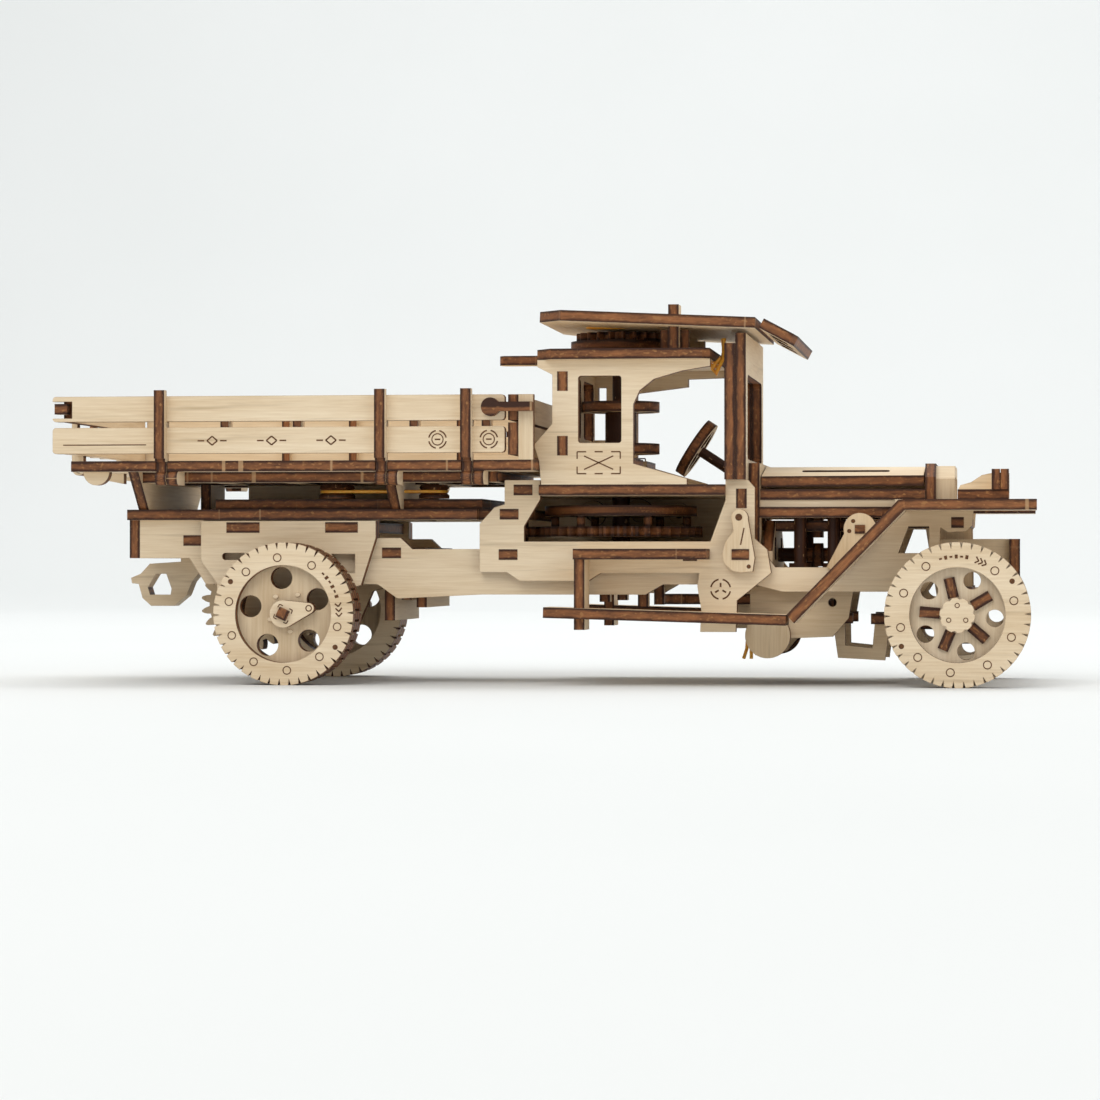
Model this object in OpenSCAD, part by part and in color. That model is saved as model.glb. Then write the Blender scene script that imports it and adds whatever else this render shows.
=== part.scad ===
// Mechanical flatbed lorry, an unglued kit of laser-cut plywood plates.
// Frame: +X forward, +Y to the lorry's left, +Z up, ground at z = 0.

/* [Sheet] */
// Thickness of the plywood sheet
ply = 3; // [2.9:0.05:3.1]

/* [Wheels] */
// Radius of every wheel over its tread
wheel_r = 20.2; // [20:0.1:20.4]
// Notches round each tread
tread_notches = 42; // [36:2:48]
// Distance between the rear and front axles
wheelbase = 189.8; // [189:0.1:190.5]
// Outer face of the wheels, from the middle of the lorry
wheel_face = 44; // [43.8:0.1:44.5]

/* [Bed] */
// Top of the bed floor above the ground
floor_top = 63.6; // [63.4:0.1:63.8]
// Top of the side boards above the ground
boards_top = 82; // [80:0.5:84]
// Length of each side board
board_l = 130.4; // [128:0.2:131]

/* [Cab] */
// Height of the lower roof plate's underside
cab_top = 92.2; // [92:0.1:92.4]
// Tilt of the roof, lower at the front, degrees
roof_tilt = 2.6; // [2:0.1:3]

/* [Steering] */
// Rake of the steering column below the horizontal, degrees
column_rake = 33.2; // [32:0.2:35]

/* [Hidden] */
$fn = 48;

// colours of the sheet, its laser-cut edges, and the shaded inner pieces
birch = [0.93, 0.86, 0.74];
birch_dark = [0.80, 0.68, 0.52];
burnt = [0.45, 0.26, 0.14];

// fits
run = 0.05;            // radial running clearance of a shaft
gap = 0.3;             // side gap between moving plates

// levels across the lorry, measured from the middle plane
rail_in = 24;
plate_in = rail_in + ply;
plate_out = plate_in + ply;
board_in = 41;
board_out = board_in + ply;
post_out = board_out + ply;

// axles
rear_x = -72.3;
front_x = rear_x + wheelbase;
axle_z = wheel_r;
axle_r = 2.4;
lay_x = -91;
lay_z = 22.6;
lay_r = 2;
king_y = 27;
king_r = 1.5;
lever_pin_r = 1.5;
arm_l = 8;             // steering arm, kingpin to tie rod pin

// gears: modules, teeth and the standing positions of their axes
motor_x = 18.9;
motor_r = 2.5;
big_teeth = 38;
big_module = 1.2;
small_teeth = 10;
lay_teeth = 22;
pinion_teeth = 10;
rear_module = 2 * norm([rear_x - lay_x, axle_z - lay_z]) / (lay_teeth + pinion_teeth);
transfer_x = motor_x - big_module * (big_teeth + small_teeth) / 2;
pressure = 25;

// deck levels
deck_z = 47;
riser_z = deck_z + ply;
floor_z = floor_top - ply;
subframe_z = floor_z - ply;
cab_floor_z = 53.8;
step_z = 35.6;

// bed
floor_rear = -133.9;
floor_front = -0.8;
load_rear = -131.6;
load_front = -10.4;
load_half = 37.6;
groove = 0.4;
board_rear = -139.3;
board_front = board_rear + board_l;
lower_board_z = 65.7;
board_gap_z = 73.1;
upper_board_z = 74.8;
post_xs = [-109, -45.6, -21.1];
batten_xs = [-90.5, -69.6, -36.1, -15.5];
hinge_y = 43.6;
hinge_z = 58.6;
hinge_r = 1.2;
lobe_r = 1.9;
latch_x = -12.6;
latch_z = 78.4;
gate_x = -136.6;
gate_z = 61.9;

// tenons that pass through the side plates: [x, z, length, height]
rail_tenons = [[-105.3, 39.6, 5.5, ply], [-47, 36, 5.5, ply], [115.5, 44.5, 3.5, ply]];
both_tenons = [[-12.7, 35.5, 5.4, ply], [40, 35.2, 4, ply]];
bracket_tenons = [[-91.9, 43.3, 9.7, ply], [-63, 43.3, 9.5, ply]];
outer_tenons = [[-8.4, 53.9, 5.4, ply], [-12.4, deck_z, 5.4, ply], [55.1, 50.1, ply, 5.5]];

// ---------------------------------------------------------------- helpers

// the outline is drawn in x and z, and stands from y to y + t
module side_plate(y, t = ply) translate([0, y + t, 0]) rotate([90, 0, 0]) linear_extrude(t) children();
// the outline is drawn in y and z, and stands from x to x + t
module cross_plate(x, t = ply) translate([x, 0, 0]) rotate([90, 0, 90]) linear_extrude(t) children();
// the outline is drawn in x and y, and lies from z to z + t
module flat_plate(z, t = ply) translate([0, 0, z]) linear_extrude(t) children();
module right_hand() mirror([0, 1, 0]) children();
module both_hands() {
    children();
    right_hand() children();
}
module box(x0, x1, y0, y1, z0, z1) translate([x0, y0, z0]) cube([x1 - x0, y1 - y0, z1 - z0]);
module rect(x0, x1, y0, y1) translate([x0, y0]) square([x1 - x0, y1 - y0]);
module round_rect(x0, x1, y0, y1, r) {
    rect(x0 + r, x1 - r, y0, y1);
    rect(x0, x1, y0 + r, y1 - r);
    for (x = [x0 + r, x1 - r], y = [y0 + r, y1 - r]) translate([x, y]) circle(r);
}
module at(x, y) translate([x, y]) children();
module slots(list) for (s = list) rect(s[0], s[0] + s[2], s[1], s[1] + s[3]);
module rod_y(x, z, r, y0, y1) translate([x, y0, z]) rotate([-90, 0, 0]) cylinder(r = r, h = y1 - y0);
module rod_x(y, z, r, x0, x1) translate([x0, y, z]) rotate([0, 90, 0]) cylinder(r = r, h = x1 - x0);
module rod_z(x, y, r, z0, z1) translate([x, y, z0]) cylinder(r = r, h = z1 - z0);

// a disc with V notches in its rim
function notched(r, n, depth, share, turn = 0) = [
    for (i = [0 : n - 1], k = [0 : 3])
        let (a = turn + 360 / n * (i + [0, share / 2, share, (1 + share) / 2][k]),
             q = k == 1 ? r - depth : r)
        q * [cos(a), sin(a)]];

// an involute gear outline: module m, n teeth, thinned by the backlash
function inv(a) = tan(a) - a * PI / 180;
function flank_angle(rb, q, half) = half - (q <= rb ? 0 : inv(acos(rb / q)) * 180 / PI);
function gear_points(m, n, backlash = 0.2, steps = 4) =
    let (r = m * n / 2, rb = r * cos(pressure), tip = r + 0.9 * m, root = r - 1.15 * m,
         half = (90 / n - backlash / 2 / r * 180 / PI) + inv(pressure) * 180 / PI,
         from = max(root, rb))
    [for (i = [0 : n - 1]) let (mid = 360 / n * i) each concat(
        [root * [cos(mid - flank_angle(rb, from, half)), sin(mid - flank_angle(rb, from, half))]],
        [for (k = [0 : steps]) let (q = from + (tip - from) * k / steps, a = flank_angle(rb, q, half))
            q * [cos(mid - a), sin(mid - a)]],
        [for (k = [steps : -1 : 0]) let (q = from + (tip - from) * k / steps, a = flank_angle(rb, q, half))
            q * [cos(mid + a), sin(mid + a)]],
        [root * [cos(mid + flank_angle(rb, from, half)), sin(mid + flank_angle(rb, from, half))]])];

// ---------------------------------------------------------------- chassis

module rail_shape() difference() {
    polygon([[-118.2, 36], [-118.2, deck_z], [-48.3, deck_z], [-48.3, 41.8], [-41.6, 41.8], [-38.2, 38.6],
        [62, 38.6], [66, 33.4], [87, 33.4], [103, 49.3], [121.7, 49.3], [121.4, 45.2], [119.7, 43.5],
        [114.5, 43.2], [112.5, 44.6], [112, 33], [108, 26.5], [68, 26.5], [60, 28.5], [34, 28.5],
        [29, 25.6], [-18, 25.6], [-42.5, 24.4], [-48.3, 28.5], [-98.7, 28.5], [-103.5, 36]]);
    slots(concat(rail_tenons, both_tenons, bracket_tenons));
    polygon([[100.7, 37.4], [103.5, 44.9], [109.3, 44.9], [109.3, 37.4]]);
}
module chassis_rail_left() color(birch) side_plate(rail_in) rail_shape();
module chassis_rail_right() right_hand() chassis_rail_left();

module frame_plate_shape(window) difference() {
    polygon(concat([[-11, 58.2], [floor_front, 58.2]], window, [[52.1, 58.2], [58.4, 58.2], [60.4, 55.9],
        [60.4, 41.5], [63.9, 38.4], [65, 31.8], [55.3, 24], [55.3, 20.6], [55, 15.1], [44.9, 15.1],
        [45.2, 21.4], [44.1, 28], [44.6, 31.7], [16.5, 31.7], [13, 29.5], [-6.7, 29.5], [-10.4, 32],
        [-18.2, 32], [-18.2, 45.8], [-14, 50.4], [-11, 51.3]]));
    slots(concat(both_tenons, outer_tenons));
    at(56.1, 47.5) circle(lever_pin_r);
}
module frame_plate_right() color(birch) right_hand() side_plate(plate_in)
    frame_plate_shape([[floor_front, 52.7], [-5.4, 45.1], [-5.4, 40.7], [47.8, 40.7], [52.1, 52.4]]);
module frame_plate_left() {
    color(birch) side_plate(plate_in) frame_plate_shape([[floor_front, cab_floor_z], [52.1, cab_floor_z]]);
    // bearing rings on its inner face
    color(birch) side_plate(rail_in + gap, ply - gap) for (c = [[7.5, 3.9], [21.5, 4.3], [33.5, 3.2]])
        at(c[0], 49.4) difference() {
            circle(c[1]);
            circle(c[1] - 1.8);
        }
}

module axle_brackets() color(birch) both_hands() side_plate(plate_in) difference() {
    polygon([[-99.4, 46.7], [-48.3, 46.7], [-48.3, 41.8], [-52.6, 28.3], [-60, 26], [-65, 14.5],
        [-79.6, 14.5], [-86, 18], [-94, 18], [-94.8, 28.9], [-99.4, 35.2]]);
    slots(bracket_tenons);
    at(rear_x, axle_z) circle(axle_r + run);
    at(lay_x, lay_z) circle(lay_r + run);
    round_rect(-93.1, -86.2, 35.5, 37.5, 0.9);
    polygon([[-61.2, 37.2], [-54.3, 37.2], [-54.3, 31.8], [-57.8, 31.8]]);
}

module chassis_deck() {
    color(burnt) flat_plate(deck_z) difference() {
        union() {
            rect(-121.2, -19, -plate_out, plate_out);
            rect(-19, -5, -plate_in, plate_in);
            rect(-12.4, -7, -plate_out, plate_out);
        }
        for (x = [-112, -40]) round_rect(x, x + 18, -13, 13, 2);
        at(transfer_x, 0) circle(king_r + run);
    }
    color(burnt) flat_plate(riser_z) difference() {
        rect(-96.5, -18.4, -rail_in, rail_in);
        for (x = [-88, -48]) round_rect(x, x + 22, -13, 13, 2);
    }
    color(birch_dark) for (x = [-61.7, -33.2]) rod_z(x, -19, 1.4, riser_z + ply, subframe_z);
}

// one flat cross plate between the rails, with a tenon on each side
module cross_plate_flat(x0, x1, z) box(x0, x1, -rail_in, rail_in, z, z + ply);
module tenon(s, y0, y1) both_hands() box(s[0], s[0] + s[2], y0, y1, s[1], s[1] + s[3]);
module cross_members() color(birch_dark) {
    difference() {
        union() {
            cross_plate_flat(-117, -98, rail_tenons[0][1]);
            tenon(rail_tenons[0], rail_in, plate_in);
        }
        box(-112.2, -103.8, -3.1, 3.1, 39, 43);
    }
    cross_plate_flat(-95, -50, bracket_tenons[0][1]);
    for (s = bracket_tenons) tenon(s, rail_in, plate_out);
    cross_plate_flat(-50, -35, rail_tenons[1][1]);
    tenon(rail_tenons[1], rail_in, plate_in);
    difference() {
        cross_plate_flat(-18, -3, both_tenons[0][1]);
        rod_z(transfer_x, 0, king_r + run, 35, 39);
    }
    tenon(both_tenons[0], rail_in, plate_out);
    difference() {
        cross_plate_flat(4, 46, both_tenons[1][1]);
        rod_z(motor_x, 0, motor_r + run, 35, 39);
    }
    tenon(both_tenons[1], rail_in, plate_out);
    box(-11, -1, -plate_in, plate_in, 53.9, 56.9);
    tenon(outer_tenons[0], plate_in, plate_out);
    cross_plate_flat(101, 121, rail_tenons[2][1]);
    tenon(rail_tenons[2], rail_in, plate_in);
    // upright plate that closes the rear of the frame
    box(-121.2, -118.2, -plate_in, plate_in, 36, deck_z);
    // straps that hang under the rails ahead of the rear axle
    for (s = [[-47.5, 18], [-42.6, 24], [-38.2, 21.8]])
        box(s[0], s[0] + ply, -20, 20, s[1], rail_tenons[1][1]);
}

module tow_hitch() color(birch_dark) side_plate(-ply, 2 * ply) difference() {
    polygon([[-127.1, 30.2], [-124.2, 31.4], [-121.4, 34.4], [-112, 35], [-112, 42.6], [-104, 42.6],
        [-104, 34.5], [-108.6, 29], [-110.2, 25], [-114, 21.9], [-121, 21.9], [-123.6, 24.2],
        [-124.8, 28.4], [-126.8, 28.6]]);
    polygon([[-121.3, 25.2], [-122, 27.4], [-119.5, 31.4], [-116.4, 31.4], [-114.8, 27], [-115.1, 25.2]]);
}

// ---------------------------------------------------------------- bed

module hinge_lug(x) cross_plate(x) difference() {
    union() {
        rect(36, hinge_y, hinge_z - lobe_r, floor_z);
        at(hinge_y, hinge_z) circle(lobe_r);
    }
    at(hinge_y, hinge_z) circle(hinge_r);
}
module bed_subframe() {
    color(burnt) difference() {
        flat_plate(subframe_z) difference() {
            rect(-116, -12, -36, 36);
            for (x = [-110, -90, -70, -50, -30], y = [-31, 5]) round_rect(x, x + 15, y, y + 26, 2);
        }
        for (x = [-118, -44.2]) box(x, x + ply, -40, 40, subframe_z - 1, floor_z + 1);
    }
    // slanting struts between the deck and the floor
    color(burnt) for (x = [-118, -44.2]) cross_plate(x) difference() {
        polygon([[-29, riser_z], [29, riser_z], [41, floor_z], [-41, floor_z]]);
        if (x > -96) rect(-rail_in, rail_in, riser_z, riser_z + ply);
    }
    color(birch_dark) box(-94, -46, 8, 8 + ply, riser_z + ply, subframe_z);
    // a short post that carries the rear of the bed
    color(burnt) box(-104.5, -101.5, -9, 9, riser_z, subframe_z);
    color(birch_dark) both_hands() {
        for (x = post_xs) {
            hinge_lug(x + ply + gap);
            rod_x(hinge_y, hinge_z, hinge_r, x - gap, x + 2 * ply + gap);
        }
    }
}

module bed_planks() flat_plate(floor_z) difference() {
    rect(floor_rear, floor_front, -board_out, board_out);
    for (x = post_xs, y = [-board_out - 1, board_in - 0.2]) rect(x - gap, x + ply + gap, y, y + ply + 1.2);
    for (x = [-118 : 22 : -20]) rect(x, x + groove, -36, 36);
}
module load_panel(grow) rect(load_rear - grow, load_front + grow, -load_half - grow, load_half + grow);
module bed_floor() {
    color(birch) difference() {
        bed_planks();
        // engraved line round the load area
        flat_plate(floor_top - 0.3, 1) difference() {
            load_panel(groove);
            load_panel(0);
        }
    }
    // ears that hold the tailgate's hinge pin
    color(birch) both_hands() side_plate(20) difference() {
        union() {
            at(gate_x, gate_z) circle(lobe_r);
            polygon([[gate_x, gate_z - lobe_r], [-124, 57.6], [-124, floor_z], [floor_rear, floor_z],
                [floor_rear, gate_z + 1], [gate_x, gate_z + lobe_r]]);
        }
        at(gate_x, gate_z) circle(hinge_r);
    }
    color(birch_dark) both_hands() rod_y(gate_x, gate_z, hinge_r, 20, 20 + 2 * ply + gap);
    // half-round stops under the rear of the floor
    color(birch) both_hands() side_plate(38) intersection() {
        at(-127.3, floor_z) circle(3.8);
        rect(-132, -122, 50, floor_z);
    }
}

plank_x = -8;
module headboard() {
    color(burnt) for (z = [[65.1, 74.1], [upper_board_z, boards_top]])
        box(plank_x, plank_x + ply, -hinge_y, hinge_y, z[0], z[1]);
    color(birch) both_hands() box(plank_x + ply, floor_front, board_in, board_out, floor_top, boards_top);
}

module side_boards_left() color(birch) side_plate(board_in) {
    difference() {
        round_rect(board_rear, board_front, upper_board_z, boards_top, 1);
        rect(board_rear - 1, -133.6, 75.8, 80.6);
        at(latch_x, latch_z) circle(2);
    }
    round_rect(board_rear, board_front, lower_board_z, board_gap_z, 1);
}
module side_boards_right() right_hand() side_boards_left();

module side_posts_left() {
    color(burnt) for (x = post_xs) cross_plate(x) difference() {
        union() {
            rect(board_out, post_out, lower_board_z - 1.5, 83.6);
            rect(board_in + 0.5, board_out, hinge_z, lower_board_z);
            rect(board_out, post_out - 1.2, lower_board_z - 2.4, lower_board_z);
            rect(board_in, board_out, board_gap_z, upper_board_z);
            at(hinge_y, hinge_z) circle(lobe_r);
        }
        at(hinge_y, hinge_z) circle(hinge_r + run);
    }
    // inner battens that tie the two boards together
    color(burnt) for (x = batten_xs) {
        box(x, x + 2.4, board_in - 2.4, board_in, lower_board_z + 0.4, boards_top - 1);
        box(x, x + 2.4, board_in, board_out - 0.4, board_gap_z, upper_board_z);
    }
}
module side_posts_right() right_hand() side_posts_left();

module tailgate() {
    color(birch) cross_plate(-137) for (z = [lower_board_z, upper_board_z])
        rect(-board_in + 0.6, board_in - 0.6, z, z + 7.3);
    color(burnt) both_hands() box(-138.8, -135.2, board_in - 0.6, board_out - 0.2, 77, 80);
    color(burnt) both_hands() {
        side_plate(20 + ply + gap) difference() {
            union() {
                at(gate_x, gate_z) circle(lobe_r);
                rect(gate_x - lobe_r + 0.4, -137, gate_z, lower_board_z + 0.8);
                rect(-138.6, -137, lower_board_z - 1.4, 81);
                rect(-138.6, gate_x + 1.4, gate_z, lower_board_z);
            }
            at(gate_x, gate_z) circle(hinge_r + run);
        }
        box(-138.6, -137, 4, 7, lower_board_z, 81);
    }
}

module latch_left() color(burnt) {
    side_plate(board_out + gap / 2, ply - gap / 2) {
        rect(latch_x, floor_front, 77.2, 79.8);
        at(latch_x, latch_z) circle(2.6);
    }
    rod_y(latch_x, latch_z, 2 - run, board_in + gap / 2, board_out + gap / 2);
}
module latch_right() right_hand() latch_left();

module pulley(x, y, r) color(birch_dark) translate([x, y, riser_z + ply + 0.2]) rotate_extrude()
    polygon([[1.45, 0], [r, 0], [r, 0.9], [r - 1.1, 2], [r, 3.1], [r - 0.7, 4], [1.45, 4]]);
module idler_pulley_rear() pulley(-61.7, -19, 5.2);
module idler_pulley_front() pulley(-33.2, -19, 4.4);

// ---------------------------------------------------------------- rear axle

module rear_axle() {
    color(burnt) {
        rod_y(rear_x, axle_z, axle_r, -32, 32);
        both_hands() translate([rear_x, 38.7, axle_z]) rotate([0, 25, 0]) cube([3, 13.4, 3], center = true);
    }
    color(birch_dark) translate([rear_x, -6, axle_z]) rotate([-90, 0, 0]) linear_extrude(2 * ply)
        rotate(mesh_turn) polygon(gear_points(rear_module, pinion_teeth));
}
// the two rear gears stand in mesh: a tooth of one faces a gap of the other
mesh_dir = atan2(lay_z - axle_z, rear_x - lay_x);
mesh_turn = mesh_dir - 180 + 180 / pinion_teeth;

module tread_layer(y0, t, r_in, turn) side_plate(y0, t) difference() {
    polygon(notched(wheel_r, tread_notches, notch_depth, notch_share, turn));
    if (r_in > 0) circle(r_in);
}
notch_depth = 1.8;
notch_share = 0.24;
chevron = 360 / tread_notches / 4;
rear_ring_r = 13.8;
module rear_tyre_left() color(birch) translate([rear_x, 0, axle_z]) {
    tread_layer(wheel_face - ply, ply, rear_ring_r, 0);
    tread_layer(wheel_face - 4 * ply, ply, rear_ring_r, 0);
    tread_layer(wheel_face - 3 * ply, ply, rear_ring_r, chevron);
}
module rear_tyre_right() right_hand() rear_tyre_left();

module rear_disc_shape() difference() {
    polygon(notched(wheel_r, tread_notches, notch_depth, notch_share, chevron));
    for (k = [0 : 4]) rotate(24 + 72 * k) at(10.2, 0) circle(3.1);
    rotate(-25) square(3, center = true);
}
module rear_discs() color(birch_dark) both_hands() translate([rear_x, wheel_face - ply, axle_z])
    rotate([90, 0, 0]) linear_extrude(ply) rear_disc_shape();
module hub_locks() color(birch) both_hands() translate([rear_x, wheel_face, axle_z])
    rotate([90, 0, 0]) linear_extrude(ply) difference() {
        hull() {
            circle(3.9);
            at(7.4, 1.6) circle(1.5);
        }
        rotate(-25) square(3, center = true);
    }

module lay_gear() {
    color(birch_dark) translate([lay_x, -6, lay_z]) rotate([-90, 0, 0]) linear_extrude(2 * ply)
        rotate(mesh_dir) polygon(gear_points(rear_module, lay_teeth));
    color(burnt) rod_y(lay_x, lay_z, lay_r, -plate_out, plate_out);
}

// ---------------------------------------------------------------- front axle

beam_low = 12;
beam_high = 25;
front_tray_z = 38.4;
module beam_shape() {
    rect(front_x - 4, front_x + 4, -king_y, king_y);
    for (s = [-1, 1]) at(front_x, s * king_y) circle(4);
}
module front_axle_beam() {
    color(burnt) for (z = [beam_low, beam_high]) flat_plate(z) beam_shape();
    color(birch_dark) both_hands() rod_z(front_x, king_y, king_r, beam_low + ply, beam_high);
    // front tray and its end block
    color(burnt) flat_plate(front_tray_z) rect(112, 131.7, -20, 20);
    color(burnt) box(131.7, 134.7, -22, 22, 30.7, front_tray_z + ply);
    color(birch) both_hands() side_plate(17) rect(126, 131.7, 30.7, front_tray_z);
    // hangers between the beam and the front cross plate
    color(birch_dark) both_hands() side_plate(12) difference() {
        polygon([[108, 44.5], [121, 44.5], [121.5, beam_low], [113.5, beam_low], [111, 26]]);
        for (z = [beam_low, beam_high]) rect(front_x - 4, front_x + 4.1, z, z + ply);
    }
}

stub_end = 43.5;
module knuckle_left() color(burnt) difference() {
    union() {
        box(front_x - 3.5, front_x + 3.5, king_y - 3.4, king_y + 4.5, beam_low + ply + gap, beam_high - gap);
        rod_y(front_x, axle_z, axle_r, king_y + 4.5, stub_end);
        // steering arm, level with the tie rod
        box(front_x - arm_l - 2, front_x - 3.5, king_y - 2, king_y + 2, 19, 22);
        rod_z(front_x - arm_l, king_y, 1, 16, 19);
    }
    rod_z(front_x, king_y, king_r + run, beam_low, beam_high + 1);
}
module knuckle_right() right_hand() knuckle_left();

front_ring_r = 13.2;
module front_tyre_left() color(birch) translate([front_x, 0, axle_z]) {
    tread_layer(wheel_face - ply, ply, front_ring_r, 0);
    tread_layer(wheel_face - 3 * ply, ply, front_ring_r, 2 * chevron);
}
module front_tyre_right() right_hand() front_tyre_left();
module front_disc_left() {
    color(birch) translate([front_x, 0, axle_z]) side_plate(wheel_face - 2 * ply) difference() {
        polygon(notched(wheel_r, tread_notches, notch_depth, notch_share, chevron));
        for (k = [0 : 4]) rotate(-5 + 72 * k) at(10.3, 0) circle(2.4);
        circle(axle_r + run);
    }
    // radial wedges and the round hub cap
    color(burnt) for (k = [0 : 4]) translate([front_x, wheel_face - ply, axle_z])
        rotate([0, -(31 + 72 * k), 0])
        translate([4.9, 0, -ply / 2]) cube([5.6, 1, ply]);
    color(birch) translate([front_x, wheel_face, axle_z]) rotate([90, 0, 0]) {
        linear_extrude(ply) difference() {
            circle(4.2);
            circle(axle_r + run);
        }
        translate([0, 0, gap - ply]) linear_extrude(ply - gap) polygon(notched(4.9, 10, 0.5, 0.5));
    }
}
module front_disc_right() right_hand() front_disc_left();

module tie_rod() color(birch_dark) flat_plate(16) difference() {
    union() {
        rect(front_x - arm_l - 2.6, front_x - arm_l + 2.6, -king_y, king_y);
        for (s = [-1, 1]) at(front_x - arm_l, s * king_y) circle(2.6);
    }
    for (s = [-1, 1]) at(front_x - arm_l, s * king_y) round_rect(-1.15, 1.7, -1.15, 1.15, 1.1);
}

// ---------------------------------------------------------------- cab

cab_in = 30;
cab_out = cab_in + ply;
module cab_side_right() color(birch) right_hand() side_plate(cab_in) difference() {
    polygon([[-0.1, 56.8], [-0.7, floor_top], [-2.1, 68.1], [3.1, 74.1], [3.1, 88], [-1.2, 90.2],
        [-1.2, cab_top], [48, cab_top], [48, 90.2], [40, 88.9], [32, 86.6], [28, 83.4], [26.2, 79.5],
        [26.2, 62.7], [41.4, 58.4], [41.4, 56.8]]);
    round_rect(10.5, 22.8, 68.6, 87.6, 0.8);
    cab_slots();
}
module cab_side_left() color(birch) side_plate(cab_in) difference() {
    polygon([[-0.1, 56.8], [-0.7, floor_top], [-2.1, 68.1], [3.1, 74.1], [3.1, 88], [-1.2, 90.2],
        [-1.2, cab_top], [48, cab_top], [48, 90.2], [35.8, 89.8], [35.8, 87.5], [20.4, 85.6],
        [20.4, 64.5], [41.4, 58.4], [41.4, 56.8]]);
    rect(5.4, 11, 71.6, 82.2);
    rect(8.6, 11, 82, 87.4);
    cab_slots();
}
module cab_slots() for (z = [65.1, 83.4]) rect(4.5, 7.5, z, z + 5.5);

module cab_back() color(birch_dark) cross_plate(4.5) difference() {
    union() {
        rect(-cab_in, cab_in, 56.8, cab_top);
        for (z = [65.1, 83.4]) rect(-cab_out, cab_out, z, z + 5.5);
    }
    for (y = [-27, 3]) round_rect(y, y + 24, 71, 88, 2);
}
module cab_floor() {
    color(burnt) flat_plate(cab_floor_z) difference() {
        rect(-0.8, 52.1, -cab_out, cab_out);
        at(motor_x, 0) circle(motor_r + run);
    }
    // bench behind the wheel, with a gap for the motor shaft
    color(birch_dark) {
        for (y = [[-29, -5], [5, 29]]) box(8, 26, y[0], y[1], 61.5, 64.5);
        for (y = [-27, -8, 5, 24]) box(9, 24, y, y + ply, 56.8, 61.5);
    }
}
module windshield_frame() {
    color(burnt) for (layer = [[52, 96.6], [55.1, 99.4]]) cross_plate(layer[0]) difference() {
        rect(-cab_out, cab_out, 58.2, layer[1]);
        round_rect(-27, 27, 64, 88, 2);
    }
    // keys through the frame plates below
    color(burnt) both_hands() box(55.1, 58.1, rail_in, plate_out, 50.1, 55.6);
    color(burnt) both_hands() box(55.1, 58.1, rail_in, plate_in, 55.6, 58.2);
    // upright that ties the two roofs together
    color(burnt) both_hands() box(35.9, 38.9, 24, 31, cab_top + ply, 107.8);
    color(birch) both_hands() box(33.3, 41.3, 24, 27, cab_top + ply, 100.8);
}
// the winding lever swings in a fan-shaped opening
lever_hub = 6;
lever_half = 3.2;
lever_swing = 25;
module lower_roof() color(burnt) flat_plate(cab_top) difference() {
    polygon([[-1.6, -30], [3, -36], [46, -36], [48, -34], [48, 34], [46, 36], [3, 36], [-1.6, 30]]);
    at(motor_x, 0) circle(lever_hub + gap);
    at(motor_x, 0) for (s = [-1, 1]) rotate(s * (lever_swing + 1))
        rect(-36, 0, -lever_half - gap, lever_half + gap);
    polygon([[motor_x, 0], [-9, 14], [-9, -14]]);
}
roof_z = 103;
module roof_tilted() translate([5.6, 0, roof_z]) rotate([0, roof_tilt, 0])
    translate([-5.6, 0, -roof_z]) children();
module roof() {
    difference() {
        color(burnt) roof_tilted() flat_plate(roof_z)
            polygon([[-1.5, -26], [6, -38], [61, -38], [61, 38], [6, 38], [-1.5, 26]]);
        both_hands() box(35.9, 38.9, 24, 31, 95, 108);
    }
    // drooping peak ahead of the windscreen
    color(birch) translate([62, 0, 100.6]) rotate([0, 28, 0]) linear_extrude(ply) difference() {
        polygon([[0, -36], [9.4, -36], [10.8, -33], [10.8, 33], [9.4, 36], [0, 36]]);
        for (y = [-30, -9, 12]) polygon([[2.5, y], [2.5, y + 18], [8, y + 15], [8, y + 3]]);
    }
}
module firewall() color(birch_dark) cross_plate(58.3) difference() {
    rect(-rail_in, rail_in, 34, 63);
    for (s = [-1, 1]) at(s * bonnet_hinge_y, bonnet_hinge_z) circle(bonnet_pin_r + run);
    for (y = [-16, 4]) round_rect(y, y + 12, 44, 52, 2);
}

// ---------------------------------------------------------------- motor

module spoked(r, hub, n) difference() {
    circle(r);
    for (k = [0 : n - 1]) rotate(360 / n * k) at((r + hub) / 2, 0) circle((r - hub) / 2 - 1.6);
}
module motor_shaft() {
    color(burnt) rod_z(motor_x, 0, motor_r, 34, 101.8);
    color(birch_dark) for (z = [66.4, 78.6]) flat_plate(z) difference() {
        at(motor_x, 0) spoked(11.3, 4, 6);
        at(motor_x, 0) circle(motor_r);
    }
    color(birch_dark) difference() {
        rod_z(motor_x, 0, 4.6, 69.4, 78.6);
        rod_z(motor_x, 0, motor_r, 69, 79);
    }
}
module winding_gear() {
    color(burnt) flat_plate(99.1, 2.4) difference() {
        at(motor_x, 0) polygon(gear_points(1.1, 22));
        at(motor_x, 0) circle(motor_r);
    }
    color(burnt) flat_plate(96.1) difference() {
        at(motor_x, 0) spoked(14.6, 4, 6);
        at(motor_x, 0) circle(motor_r);
    }
}
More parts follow.
